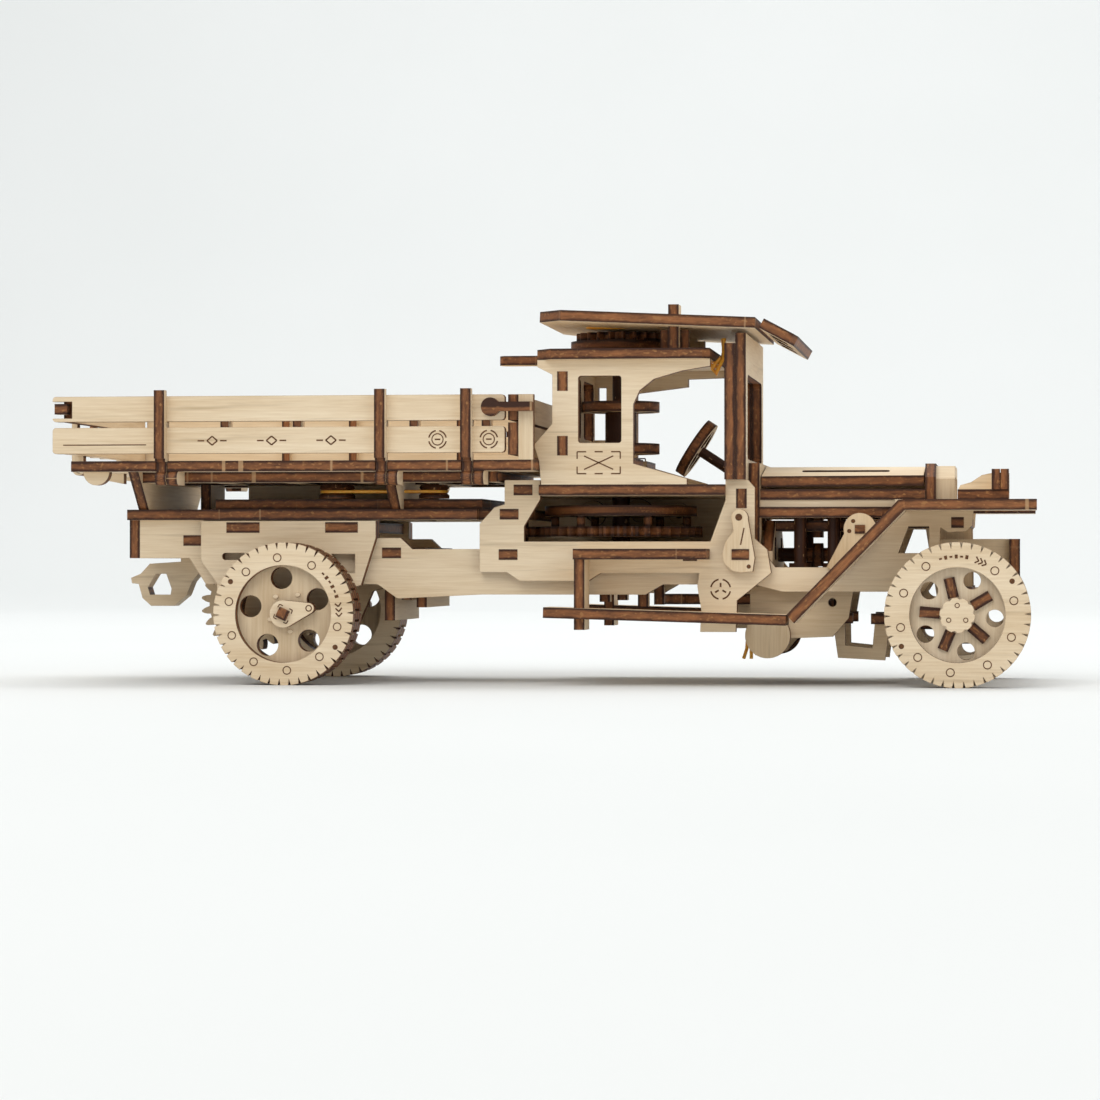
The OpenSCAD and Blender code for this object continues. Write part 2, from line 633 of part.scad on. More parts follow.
module drive_gear() {
    color(burnt) flat_plate(42.2) difference() {
        at(motor_x, 0) polygon(gear_points(big_module, big_teeth));
        at(motor_x, 0) circle(motor_r);
        for (k = [0 : 5]) at(motor_x, 0) rotate(60 * k + 30) at(13, 0) circle(4.5);
    }
    color(birch_dark) for (k = [0 : 5]) rotate_about(motor_x, 60 * k)
        rod_z(motor_x + 19.4, 0, 1.2, 45.2, 48.2);
    color(burnt) flat_plate(48.2) difference() {
        at(motor_x, 0) spoked(22.2, 6, 6);
        at(motor_x, 0) circle(motor_r);
    }
}
module rotate_about(x, a) translate([x, 0, 0]) rotate(a) translate([-x, 0, 0]) children();
module transfer_gear() {
    color(birch_dark) flat_plate(42.2) at(transfer_x, 0) rotate(180 / small_teeth)
        polygon(gear_points(big_module, small_teeth));
    color(burnt) {
        rod_z(transfer_x, 0, king_r, 35.5, 42.2);
        rod_z(transfer_x, 0, king_r, 45.2, deck_z + ply);
    }
}
lever_tip = -16.8;
module winding_lever() color(burnt) flat_plate(cab_top + gap, ply - gap) difference() {
    union() {
        at(motor_x, 0) circle(lever_hub);
        rect(lever_tip + lever_half, motor_x, -lever_half, lever_half);
        at(lever_tip + lever_half, 0) circle(lever_half);
    }
    at(motor_x, 0) circle(motor_r + run);
}

// ---------------------------------------------------------------- steering

wheel_c = [39.9, 13, 68.4];
module steering_axis() translate(wheel_c) rotate([0, 90 + column_rake, 0]) children();
module steering_wheel() color(burnt) {
    steering_axis() translate([0, 0, -1.5]) linear_extrude(ply) difference() {
        circle(9);
        for (k = [0 : 3]) rotate(90 * k + 45) intersection() {
            difference() {
                circle(7);
                circle(2.8);
            }
            polygon([[1, 0], [10, 8], [10, -8]]);
        }
    }
    steering_axis() translate([0, 0, 1.5]) cylinder(r = 1.5, h = 11);
}

// ---------------------------------------------------------------- bonnet and engine

bonnet_edge = 21.5;
bonnet_tilt = 9;
bonnet_hinge_y = 1.6;
bonnet_hinge_z = 60.9;
bonnet_pin_r = 1;
bonnet_x0 = 61.6;
bonnet_x1 = 107.6;
module bonnet_left()
    color(birch) translate([0, bonnet_hinge_y, bonnet_hinge_z]) rotate([-bonnet_tilt, 0, 0]) {
    translate([0, 0, -ply / 2]) linear_extrude(ply) difference() {
        polygon([[bonnet_x0, 0], [bonnet_x1, 0], [bonnet_x1, bonnet_edge - 3],
            [bonnet_x0, bonnet_edge - 1.6]]);
        round_rect(72.6, 97.6, 7, 11, 1);
    }
    rod_x(0, 0, ply / 2, bonnet_x0, bonnet_x1);
    rod_x(0, 0, bonnet_pin_r, bonnet_x0 - 1.6, bonnet_x1 + 1.6);
}
module bonnet_right() right_hand() bonnet_left();
lower_frame_z = 47.5;
upper_frame_z = 52.6;
module bonnet_frame() {
    color(burnt) flat_plate(upper_frame_z) difference() {
        rect(61.3, 108, -22, 22);
        round_rect(66, 85, -13, 13, 2);
        round_rect(88, 104, -13, 13, 2);
    }
    color(birch) flat_plate(lower_frame_z) difference() {
        polygon([[61.3, -24], [96, -24], [101, -22.5], [101, 22.5], [96, 24], [61.3, 24]]);
        round_rect(66, 90, -13, 13, 2);
        round_rect(92, 98, -13, 13, 2);
    }
    color(birch) both_hands() box(61.3, 100.6, 18.6, 21.6, lower_frame_z + ply, upper_frame_z);
    color(burnt) both_hands() box(99.6, 103, 19, 26, 49.4, upper_frame_z);
    // centre rib under the ridge of the bonnet
    color(birch_dark) box(61.3, 108, -1.5, 1.5, upper_frame_z + ply, 58.9);
}
module radiator() {
    color(birch) cross_plate(108) difference() {
        polygon([[-21, 49.3], [21, 49.3], [21, 59], [17, 62.9], [-17, 62.9], [-21, 59]]);
        for (s = [-1, 1]) at(s * bonnet_hinge_y, bonnet_hinge_z) circle(bonnet_pin_r + run);
        for (y = [-13, -6.5, 0, 6.5, 13]) rect(y - 1.8, y + 1.8, 51.5, 58.6);
    }
    color(burnt) cross_plate(111, 5.4) difference() {
        polygon([[-19, 49.3], [19, 49.3], [19, 58.5], [15.5, 62.2], [-15.5, 62.2], [-19, 58.5]]);
        rect(-15, 15, 51.5, 59);
    }
    // lamps on their brackets
    color(burnt) both_hands() {
        box(117.3, 131.6, 20, 28, 52.3, 55.3);
        for (x = [126.8, 129.3]) box(x, x + 2.3, 19, 29, 55.3, 61);
        box(129.1, 129.3, 21, 27, 55.3, 60);
    }
    color(birch) both_hands() side_plate(20)
        polygon([[117.3, 55.3], [118, 56.6], [121, 57.4], [124, 59.4], [126.8, 60], [126.8, 55.3]]);
}
module engine_block() {
    color(birch_dark) for (x = [62, 90.5]) cross_plate(x) difference() {
        polygon([[-24, 31], [24, 31], [24, 38], [12, 46.8], [-12, 46.8], [-24, 38]]);
        at(0, 37) circle(2 + run);
        for (y = [-16, 9]) round_rect(y, y + 7, 35.5, 42, 1);
    }
    color(burnt) flat_plate(43.8) difference() {
        rect(62 + ply, 90.5, -11.5, 11.5);
        for (x = [70, 75, 80, 85]) rect(x - run, x + 3 + run, -3 - run, 3 + run);
    }
    // slender cylinders with flared feet, outboard of the block
    color(burnt) both_hands() for (x = [72.4, 82]) {
        rod_z(x, 17, 1.8, 31, lower_frame_z);
        rod_z(x, 17, 3.2, 31, 34.6);
    }
    color(birch_dark) both_hands() flat_plate(31 - ply) rect(62, 92, 12, rail_in);
    // round caps of the cross shaft, each with its drop arm on the rail
    color(birch) both_hands() side_plate(plate_in) {
        at(90, 44.1) circle(4.6);
        polygon([[87.4, 46.4], [91.2, 40.6], [84.4, 31], [80.6, 33.4]]);
    }
    color(burnt) both_hands() box(88.6, 91.4, rail_in - 2, plate_out + 0.4, 42.9, 45.3);
    color(burnt) box(88.6, 91.4, 2 - rail_in, rail_in - 2, 42.9, 45.3);
}
module crankshaft() {
    color(burnt) rod_x(0, 37, 2, 61.5, 98);
    color(birch_dark) for (k = [0 : 3]) translate([70 + 5 * k, 0, 37]) rotate([0, 90, 0])
        rotate(90 * k) linear_extrude(ply) at(0.8, 0) circle(3.4);
    color(birch) translate([95, 0, 37]) rotate([0, 90, 0]) linear_extrude(ply) spoked(6.5, 2.2, 5);
}
module piston(x) color(birch) box(x, x + 3, -3, 3, 42, 48.6);
module pistons_outer() for (x = [70, 85]) piston(x);
module pistons_inner() for (x = [75, 80]) piston(x);

// ---------------------------------------------------------------- outer trim

module shift_lever() {
    color(birch) side_plate(-plate_out - 0.2 - ply) difference() {
        union() {
            at(56.3, 47.4) circle(2.4);
            polygon([[54.2, 46.3], [54.6, 43.6], [52.3, 40.6], [51.4, 37.3], [52, 34.4], [54.4, 32.3],
                [57, 31.9], [60, 32.2], [60.6, 36.1], [58.7, 47]]);
        }
        rect(54.1, 59, 35.5, 38.5);
    }
    color(burnt) {
        rod_y(56.1, 47.5, lever_pin_r - run, -plate_out - 0.2, -plate_in - 0.1);
        side_plate(-plate_out - 0.4 - ply, ply) rect(54.1, 59, 35.5, 38.5);
    }
}
module fenders() both_hands() {
    color(burnt) flat_plate(49.3)
        polygon([[103, rail_in], [-board_rear, 30], [-board_rear, wheel_face], [103, wheel_face]]);
    color(burnt) side_plate(plate_out + 0.2, wheel_face - plate_out - 0.2)
        polygon([[72.4, 17.8], [103, 49.3], [103, 52.3], [101.2, 52.1], [70.2, 20.2]]);
}
board_drop = 1.7;
module running_boards() both_hands() {
    color(burnt) translate([1.9, 0, 19.2]) rotate([0, board_drop, 0]) translate([-1.9, 0, -19.2])
        box(1.9, 70, plate_out, wheel_face, 19.2, 22.2);
    color(burnt) cross_plate(10.3) rect(plate_out, 41, 15.8, step_z);
    color(burnt) box(10.1, 47.6, plate_out, 42, step_z, step_z + ply);
    color(burnt) for (p = [[15.5, 23.5, 29.4], [26.5, 22.2, 31.6]])
        box(p[0], p[0] + ply, 20, 23.9, p[1], p[2]);
}
module gearbox() {
    color(birch) both_hands() side_plate(20) difference() {
        polygon([[58.5, 28], [88, 28], [86.5, 19], [82, 13.7], [70, 13.2], [66, 8.4], [60, 8.4], [58.5, 12]]);
        at(81.9, 23.4) circle(1.2);
    }
    color(birch_dark) both_hands() rod_y(63.7, 14, 6.4, 23, 26);
    color(burnt) box(60, 63, -20, 20, 12, 24);
    // selector rod with its eye
    color(burnt) box(38.6, 60, -3, 3, 22.6, 25.6);
    color(birch) flat_plate(22.6) difference() {
        at(36, 0) circle(4.4);
        at(36, 0) circle(2.2);
    }
    color(burnt) box(79, 82, -20, 20, 16, 24);
    // open stirrups that hang ahead of it
    color(birch_dark) both_hands() side_plate(15) polygon([[82, 28], [85, 28], [85.3, 11.2],
        [93, 10.4], [93.9, 20], [98.2, 20], [96.6, 6.9], [83.2, 7.6], [82, 16]]);
    color(burnt) both_hands() {
        box(81.6, 87.4, 14, 18.6, 17.4, 20.4);
        box(92.6, 98.6, 14, 18.6, 17.2, 20.2);
    }
}

chassis_rail_right();
chassis_rail_left();
frame_plate_right();
frame_plate_left();
axle_brackets();
chassis_deck();
cross_members();
tow_hitch();
bed_subframe();
bed_floor();
headboard();
side_boards_right();
side_boards_left();
side_posts_right();
side_posts_left();
tailgate();
latch_right();
latch_left();
idler_pulley_rear();
idler_pulley_front();
rear_axle();
rear_tyre_right();
rear_tyre_left();
rear_discs();
hub_locks();
lay_gear();
front_axle_beam();
knuckle_right();
knuckle_left();
front_tyre_right();
front_tyre_left();
front_disc_right();
front_disc_left();
tie_rod();
cab_side_right();
cab_side_left();
cab_back();
cab_floor();
windshield_frame();
lower_roof();
roof();
firewall();
motor_shaft();
winding_gear();
drive_gear();
transfer_gear();
winding_lever();
steering_wheel();
bonnet_right();
bonnet_left();
bonnet_frame();
radiator();
engine_block();
crankshaft();
pistons_outer();
pistons_inner();
shift_lever();
fenders();
running_boards();
gearbox();
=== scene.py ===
"""Looks of a laser-cut plywood lorry kit: birch faces, burnt edges, engraved marks, pins and rubber bands."""
import math
import zlib
import bpy
import bmesh
import numpy as np
from mathutils import Matrix, Vector


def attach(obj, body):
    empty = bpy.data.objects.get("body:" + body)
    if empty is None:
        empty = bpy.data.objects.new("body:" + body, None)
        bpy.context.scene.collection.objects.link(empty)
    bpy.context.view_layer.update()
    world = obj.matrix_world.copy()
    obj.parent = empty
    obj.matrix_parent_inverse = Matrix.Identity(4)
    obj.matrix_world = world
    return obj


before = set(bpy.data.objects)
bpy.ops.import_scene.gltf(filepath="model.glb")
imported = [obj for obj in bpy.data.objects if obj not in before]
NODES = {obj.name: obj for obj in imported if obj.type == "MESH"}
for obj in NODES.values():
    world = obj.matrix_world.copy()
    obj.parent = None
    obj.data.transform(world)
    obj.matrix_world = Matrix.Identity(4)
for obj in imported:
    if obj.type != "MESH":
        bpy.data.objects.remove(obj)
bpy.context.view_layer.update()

MM = 0.001
SHEET = 3 * MM
SCENE = bpy.context.scene
SCENE.view_settings.view_transform = "Standard"
SCENE.view_settings.look = "None"


# ------------------------------------------------------------------ node trees

def tree(name):
    """A new material's node tree with its Principled shader, and a function that makes linked nodes."""
    mat = bpy.data.materials.new(name)
    mat.use_nodes = True
    nt = mat.node_tree
    shader = nt.nodes["Principled BSDF"]

    def make(kind, inputs=(), **settings):
        node = nt.nodes.new(kind)
        for key, value in settings.items():
            setattr(node, key, value)
        for key, value in dict(inputs).items():
            if isinstance(value, bpy.types.NodeSocket):
                nt.links.new(value, node.inputs[key])
            else:
                node.inputs[key].default_value = value
        return node

    return mat, nt, shader, make


def ramp(make, factor, stops):
    node = make("ShaderNodeValToRGB", {"Fac": factor})
    ring = node.color_ramp.elements
    ring[0].position, ring[0].color = stops[0][0], (*stops[0][1], 1)
    ring[1].position, ring[1].color = stops[-1][0], (*stops[-1][1], 1)
    for place, colour in stops[1:-1]:
        ring.new(place).color = (*colour, 1)
    return node.outputs["Color"]


def noise(make, vector, scale, detail=3.0, rough=0.55):
    inputs = {"Vector": vector, "Scale": scale, "Detail": detail, "Roughness": rough}
    return make("ShaderNodeTexNoise", inputs).outputs["Fac"]


def mix(make, factor, a, b, blend="MIX"):
    node = make("ShaderNodeMix", data_type="RGBA", blend_type=blend)
    nt = node.id_data
    for key, value in ((0, factor), (6, a), (7, b)):
        if isinstance(value, bpy.types.NodeSocket):
            nt.links.new(value, node.inputs[key])
        elif key == 0:
            node.inputs[key].default_value = value
        else:
            node.inputs[key].default_value = (*value, 1)
    return node.outputs[2]


def maths(make, operation, *values):
    node = make("ShaderNodeMath", operation=operation)
    for i, value in enumerate(values):
        if isinstance(value, bpy.types.NodeSocket):
            node.id_data.links.new(value, node.inputs[i])
        else:
            node.inputs[i].default_value = value
    return node.outputs[0]


def stretched(make, scale):
    """The sheet's own coordinates: along the grain, across it, and a number for the piece."""
    source = make("ShaderNodeAttribute", attribute_name="wood").outputs["Vector"]
    return make("ShaderNodeMapping", {"Vector": source, "Scale": scale}).outputs["Vector"]


SCORCH = (0.20, 0.075, 0.022)


def birch(name, pale, warm, scorch=0.55):
    """The sheet's face: long soft grain, fine fibres, a few darker streaks, a scorched line at each cut."""
    mat, nt, shader, make = tree(name)
    broad = noise(make, stretched(make, (9, 70, 1)), 1.0, 2)
    fibres = noise(make, stretched(make, (70, 1500, 3)), 1.0, 4, 0.65)
    streaks = noise(make, stretched(make, (22, 420, 2)), 1.0, 3, 0.6)
    tone = maths(make, "MULTIPLY_ADD", broad, 0.55, maths(make, "MULTIPLY", fibres, 0.45))
    colour = ramp(make, tone, [(0.33, warm), (0.62, pale)])
    streak = ramp(make, streaks, [(0.60, (0, 0, 0)), (0.74, (1, 1, 1))])
    colour = mix(make, maths(make, "MULTIPLY", streak, 0.55), colour, [c * 0.72 for c in warm])
    bevel = make("ShaderNodeBevel", {"Radius": 0.30 * MM}, samples=4).outputs["Normal"]
    flat = make("ShaderNodeNewGeometry").outputs["Normal"]
    turned = make("ShaderNodeVectorMath", {0: bevel, 1: flat}, operation="DOT_PRODUCT").outputs["Value"]
    burn = maths(make, "MULTIPLY", ramp(make, turned, [(0.86, (1, 1, 1)), (0.995, (0, 0, 0))]), scorch)
    colour = mix(make, burn, colour, SCORCH)
    nt.links.new(colour, shader.inputs["Base Color"])
    nt.links.new(maths(make, "MULTIPLY_ADD", fibres, 0.25, 0.48), shader.inputs["Roughness"])
    shader.inputs["Specular IOR Level"].default_value = 0.25
    bump = make("ShaderNodeBump", {"Height": fibres, "Strength": 0.12, "Distance": 0.12 * MM})
    nt.links.new(bump.outputs["Normal"], shader.inputs["Normal"])
    return mat


def burnt(name, dark, lit, gold=(0.36, 0.165, 0.055), pale=(0.58, 0.37, 0.19)):
    """A laser-cut edge: dark outlines at both skins, an orange-brown middle, specks, a few pale ticks."""
    mat, nt, shader, make = tree(name)
    source = make("ShaderNodeAttribute", attribute_name="wood").outputs["Vector"]
    across = make("ShaderNodeSeparateXYZ", {"Vector": source}).outputs["Y"]
    middle = maths(make, "ABSOLUTE", maths(make, "MULTIPLY_ADD", across, 2 / SHEET, -1.0))
    wobble = noise(make, stretched(make, (300, 500, 1)), 1.0, 3)
    rim = maths(make, "ADD", middle, maths(make, "MULTIPLY_ADD", wobble, 0.7, -0.35))
    inside = ramp(make, rim, [(0.40, (1, 1, 1)), (0.80, (0.0, 0.0, 0.0))])
    piece = noise(make, stretched(make, (5, 0, 0.9)), 1.0, 1)
    char = noise(make, stretched(make, (170, 750, 2)), 1.0, 4, 0.7)
    tone = maths(make, "MULTIPLY", inside, maths(make, "MULTIPLY_ADD", char, 1.3, -0.20))
    tone = maths(make, "ADD", tone, maths(make, "MULTIPLY_ADD", piece, 0.7, -0.35))
    colour = ramp(make, tone, [(0.05, dark), (0.75, lit)])
    specks = noise(make, stretched(make, (700, 1200, 5)), 1.0, 1)
    speck = ramp(make, specks, [(0.60, (0, 0, 0)), (0.70, (1, 1, 1))])
    colour = mix(make, maths(make, "MULTIPLY", maths(make, "MULTIPLY", speck, inside), 0.8), colour, gold)
    ticks = noise(make, stretched(make, (420, 4, 3)), 1.0, 0)
    tick = ramp(make, ticks, [(0.75, (0, 0, 0)), (0.79, (1, 1, 1))])
    colour = mix(make, maths(make, "MULTIPLY", tick, 0.55), colour, pale)
    nt.links.new(colour, shader.inputs["Base Color"])
    nt.links.new(maths(make, "MULTIPLY_ADD", char, 0.3, 0.42), shader.inputs["Roughness"])
    shader.inputs["Specular IOR Level"].default_value = 0.35
    bump = make("ShaderNodeBump", {"Height": tone, "Strength": 0.35, "Distance": 0.10 * MM})
    nt.links.new(bump.outputs["Normal"], shader.inputs["Normal"])
    return mat


def engraved(name="engraved", colour=(0.10, 0.040, 0.014)):
    """A shallow laser engraving: dark, matt and slightly uneven."""
    mat, nt, shader, make = tree(name)
    where = make("ShaderNodeTexCoord").outputs["Object"]
    grain = noise(make, where, 2600.0, 3)
    shade = ramp(make, grain, [(0.3, [c * 0.6 for c in colour]), (0.75, [c * 1.9 for c in colour])])
    nt.links.new(shade, shader.inputs["Base Color"])
    shader.inputs["Roughness"].default_value = 0.85
    return mat


def rubber(name="rubber_band"):
    """A thin amber rubber band: smooth, a little translucent, with faint dusting."""
    mat, nt, shader, make = tree(name)
    where = make("ShaderNodeTexCoord").outputs["Object"]
    dust = noise(make, where, 900.0, 4)
    amber = ramp(make, dust, [(0.3, (0.80, 0.33, 0.02)), (0.8, (0.95, 0.52, 0.08))])
    nt.links.new(amber, shader.inputs["Base Color"])
    nt.links.new(maths(make, "MULTIPLY_ADD", dust, 0.25, 0.25), shader.inputs["Roughness"])
    shader.inputs["Subsurface Weight"].default_value = 0.15
    shader.inputs["Subsurface Scale"].default_value = 0.001
    return mat


FACE = birch("birch_face", (0.85, 0.705, 0.510), (0.66, 0.490, 0.300))
# Darker birch for the recessed inner parts: painted shade, standing in for the shadow these parts sit in.
FACE_PAINTED_SHADE = birch("birch_painted_shade", (0.74, 0.59, 0.40), (0.56, 0.40, 0.235))
EDGE = burnt("burnt_edge", (0.040, 0.011, 0.003), (0.330, 0.125, 0.042))
ENGRAVED = engraved()
RUBBER = rubber()


# ------------------------------------------------------------------ sheet coordinates on the CAD nodes

NARROW = 3.03 * MM


def sheet_groups(mesh):
    """Flat groups of triangles: for each its triangles, unit normal, which groups lie along its rim and
    how far, and the longest side of each triangle on the rim."""
    co = np.zeros(len(mesh.vertices) * 3)
    mesh.vertices.foreach_get("co", co)
    co = co.reshape(-1, 3)
    _, ids = np.unique(np.round(co / (0.005 * MM)).astype(np.int64), axis=0, return_inverse=True)
    ids = ids.reshape(-1)
    normals = np.zeros(len(mesh.polygons) * 3)
    mesh.polygons.foreach_get("normal", normals)
    normals = normals.reshape(-1, 3)
    parent = list(range(len(mesh.polygons)))

    def find(i):
        while parent[i] != i:
            parent[i] = parent[parent[i]]
            i = parent[i]
        return i

    edges = {}
    corners = [list(p.vertices) for p in mesh.polygons]
    for t, vs in enumerate(corners):
        for a, b in zip(vs, vs[1:] + vs[:1]):
            key = (ids[a], ids[b]) if ids[a] < ids[b] else (ids[b], ids[a])
            edges.setdefault(key, []).append((t, a, b))
    for pair in edges.values():
        for other in pair[1:]:
            if float(normals[pair[0][0]] @ normals[other[0]]) > 0.99995:
                parent[find(other[0])] = find(pair[0][0])
    area, rim, members, cuts = {}, {}, {}, {}
    for t, p in enumerate(mesh.polygons):
        g = find(t)
        area[g] = area.get(g, 0.0) + p.area
        members.setdefault(g, []).append(t)
    for pair in edges.values():
        groups = {find(t) for t, _, _ in pair}
        if len(groups) > 1:
            length = float(np.linalg.norm(co[pair[0][1]] - co[pair[0][2]]))
            for t, a, b in pair:
                cuts[t] = max(cuts.get(t, (0.0, a, b)), (length, a, b))
            for g in groups:
                for h in groups - {g}:
                    rim.setdefault(g, {}).setdefault(h, 0.0)
                    rim[g][h] += length
    return co, normals, corners, members, area, rim, cuts


def unit(v):
    return v / max(float(np.linalg.norm(v)), 1e-12)


def chunky(co, n, tris, area):
    """A small flat group that is still a sheet's face: broader than the sheet both ways, and well filled."""
    points = co[sorted({v for t in tris for v in t})]
    sides = [co[t[k]] - co[t[k - 1]] for t in tris[:400] for k in range(3)]
    sides = {tuple(np.round(unit(e - n * float(e @ n)), 3)) for e in sides if float(np.linalg.norm(e)) > 1e-5}
    best, span = 1e9, 0.0
    for e in sides:
        e = np.array(e)
        wide, high = float(np.ptp(points @ e)), float(np.ptp(points @ np.cross(n, e)))
        if min(wide, high) < best:
            best, span = min(wide, high), wide * high
    return best > 3.3 * MM and area / max(span, 1e-12) > 0.4


def recessed(node, n, centre):
    """The strip between the bonnet's two frame plates: a bare face, though narrower than the sheet."""
    return node == "bonnet_frame" and abs(n[1]) > 0.9 and 50.6 * MM < centre[2] < 52.5 * MM


def dress(node, face, edge, all_edge=False):
    """Writes the sheet's coordinates on a CAD node, and gives its faces and cut edges their materials."""
    obj = NODES[node]
    mesh = obj.data
    co, normals, corners, members, area, rim, cuts = sheet_groups(mesh)
    seed = zlib.crc32(node.encode()) % 997 / 37.0
    wide = {g for g in members if 2 * area[g] / max(sum(rim.get(g, {}).values()), 1e-9) > NARROW
            or chunky(co, normals[g], [corners[t] for t in members[g]], area[g])
            or recessed(node, normals[g], co[corners[members[g][0]]].mean(0))}
    attribute = mesh.attributes.new("wood", "FLOAT_VECTOR", "CORNER")
    out = np.zeros((len(mesh.loops), 3), np.float32)
    slots = np.zeros(len(mesh.polygons), np.int32)
    for g, tris in members.items():
        n = normals[g]
        points = np.array(sorted({v for t in tris for v in corners[t]}))
        box = co[points].max(0) - co[points].min(0)
        if g in wide:
            along = np.zeros(3)
            along[int(np.argmax(box * (1 - np.abs(n))))] = 1.0
            along = unit(along - n * float(along @ n))
            across = np.cross(n, along)
        else:
            beside = sorted(((d, h) for h, d in rim.get(g, {}).items() if h in wide
                             and abs(float(normals[h] @ n)) < 0.3), reverse=True)
            across = normals[beside[0][1]] if beside else np.eye(3)[int(np.argmin(box + 9 * np.abs(n)))]
            across = unit(across - n * float(across @ n))
            along = np.cross(across, n)
        lowest = float((co[points] @ across).min())
        bent = g not in wide and float(np.ptp(co[points] @ across)) > 1.3 * SHEET
        for t in tris:
            polygon = mesh.polygons[t]
            slots[t] = 0 if g in wide and not all_edge else 1
            if bent and t in cuts:
                _, a, b = cuts[t]
                along = unit(co[b] - co[a])
                along = along * (1.0 if along.sum() > 0 else -1.0)
                across = np.cross(n, along)
                across = across * (1.0 if float((co[corners[t]].mean(0) - co[a]) @ across) > 0 else -1.0)
                lowest = float(co[a] @ across)
            for loop, v in zip(polygon.loop_indices, polygon.vertices):
                out[loop] = (co[v] @ along, co[v] @ across - lowest, seed + float(n @ co[v]) * 41)
    attribute.data.foreach_set("vector", out.ravel())
    mesh.materials.clear()
    mesh.materials.append(face)
    mesh.materials.append(edge)
    mesh.polygons.foreach_set("material_index", slots)
    mesh.update()


# Inner and recessed nodes that get the darker birch: painted shade for the shadow they sit in.
PAINTED_SHADE_NODES = {"gearbox", "engine_block", "crankshaft", "lay_gear", "cross_members", "tie_rod", "front_axle_beam",
         "knuckle_right", "knuckle_left", "motor_shaft", "firewall", "cab_back", "rear_discs"}
ALL_EDGE = {"latch_right", "latch_left"}
for node_name in sorted(NODES):
    dress(node_name, FACE_PAINTED_SHADE if node_name in PAINTED_SHADE_NODES else FACE, EDGE, node_name in ALL_EDGE)


# ------------------------------------------------------------------ marks, pins and bands, in millimetres

REAR, FRONT, AXLE_Z = -72.3, 117.5, 20.2
TYRE_FACE, DISC_FACE, CAP_FACE, BOARD_FACE = 44.0, 41.0, 46.7, 44.0
CAB_FACE, PLATE_FACE, LEVER_FACE = 33.0, 30.0, 33.2
PROUD = 0.05
SUNK = 0.2


def polar(centre, r, degrees):
    a = math.radians(degrees)
    return centre[0] + r * math.cos(a), centre[1] + r * math.sin(a)


class Marks:
    """Marks drawn on an upright plate, in x and z, each a thin solid that stands just proud of the plate."""

    def __init__(self):
        self.solids = []

    def strip(self, one, other, rise=PROUD, inset=0.0):
        """The band between two lines of equally many points."""
        self.solids.append((list(one), list(other), rise, inset))

    def bar(self, a, b, wide=0.35):
        length = math.dist(a, b)
        n = (wide / 2 * (a[1] - b[1]) / length, wide / 2 * (b[0] - a[0]) / length)
        self.strip([(a[0] + n[0], a[1] + n[1]), (b[0] + n[0], b[1] + n[1])],
                   [(a[0] - n[0], a[1] - n[1]), (b[0] - n[0], b[1] - n[1])])

    def path(self, points, wide=0.35):
        for a, b in zip(points, points[1:]):
            self.bar(a, b, wide)

    def arc(self, centre, r, start, stop, wide=0.35, steps=20):
        angles = [start + (stop - start) * k / steps for k in range(steps + 1)]
        self.strip([polar(centre, r + wide / 2, a) for a in angles],
                   [polar(centre, r - wide / 2, a) for a in angles])

    def ring(self, centre, r, wide=0.3):
        self.arc(centre, r, 0, 360, wide)

    def dot(self, centre, r, rise=PROUD, inset=0.0):
        upper = [polar(centre, r, 180 - 15 * k) for k in range(13)]
        lower = [polar(centre, r, 180 + 15 * k) for k in range(13)]
        self.strip(upper, lower, rise, inset)

    def place(self, name, body, face, material, slot, hand=-1):
        bm = bmesh.new()
        for one, other, rise, inset in self.solids:
            mid = [((a[0] + b[0]) / 2, (a[1] + b[1]) / 2) for a, b in zip(one, other)]
            keep = 1.0 - inset
            rows = []
            for line in (one, other):
                low = [bm.verts.new((x * MM, hand * (face - SUNK) * MM, z * MM)) for x, z in line]
                high = [bm.verts.new(((m[0] + (x - m[0]) * keep) * MM, hand * (face + rise) * MM,
                                      (m[1] + (z - m[1]) * keep) * MM)) for (x, z), m in zip(line, mid)]
                rows.append((low, high))
            (low_a, high_a), (low_b, high_b) = rows
            for k in range(len(one) - 1):
                for quad in ((high_a, high_b), (low_b, low_a), (low_a, high_a), (high_b, low_b)):
                    bm.faces.new((quad[0][k], quad[0][k + 1], quad[1][k + 1], quad[1][k]))
            for k in (0, -1):
                bm.faces.new((low_a[k], high_a[k], high_b[k], low_b[k]))
        bmesh.ops.remove_doubles(bm, verts=bm.verts, dist=1e-7)
        bmesh.ops.recalc_face_normals(bm, faces=bm.faces)
        finish_piece(name, bm, body, material)


def finish_piece(name, bm, body, material):
    mesh = bpy.data.meshes.new(name)
    bm.to_mesh(mesh)
    bm.free()
    obj = bpy.data.objects.new(name, mesh)
    SCENE.collection.objects.link(obj)
    mesh.materials.append(material)
    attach(obj, body)


def tyre_marks(centre, rivets, dashes, chevrons, pins):
    marks = Marks()
    for a in rivets:
        marks.ring(polar(centre, 16.0, a), 1.1, 0.28)
    first, last = dashes
    count = 6
    for k in range(count):
        a = first + (last - first) * k / count
        marks.arc(centre, 16.2, a, a + (last - first) / count * 0.55, 1.1 if k % 2 else 0.5, 3)
    for k in range(3):
        a = chevrons[0] + (chevrons[1] - chevrons[0]) * k / 2
        tips = [polar(centre, 17.0, a + 2), polar(centre, 16.1, a - 1.5), polar(centre, 15.2, a + 2)]
        marks.path(tips, 0.4)
    for a in pins:
        marks.dot(polar(centre, 17.7, a), 0.75)
    return marks


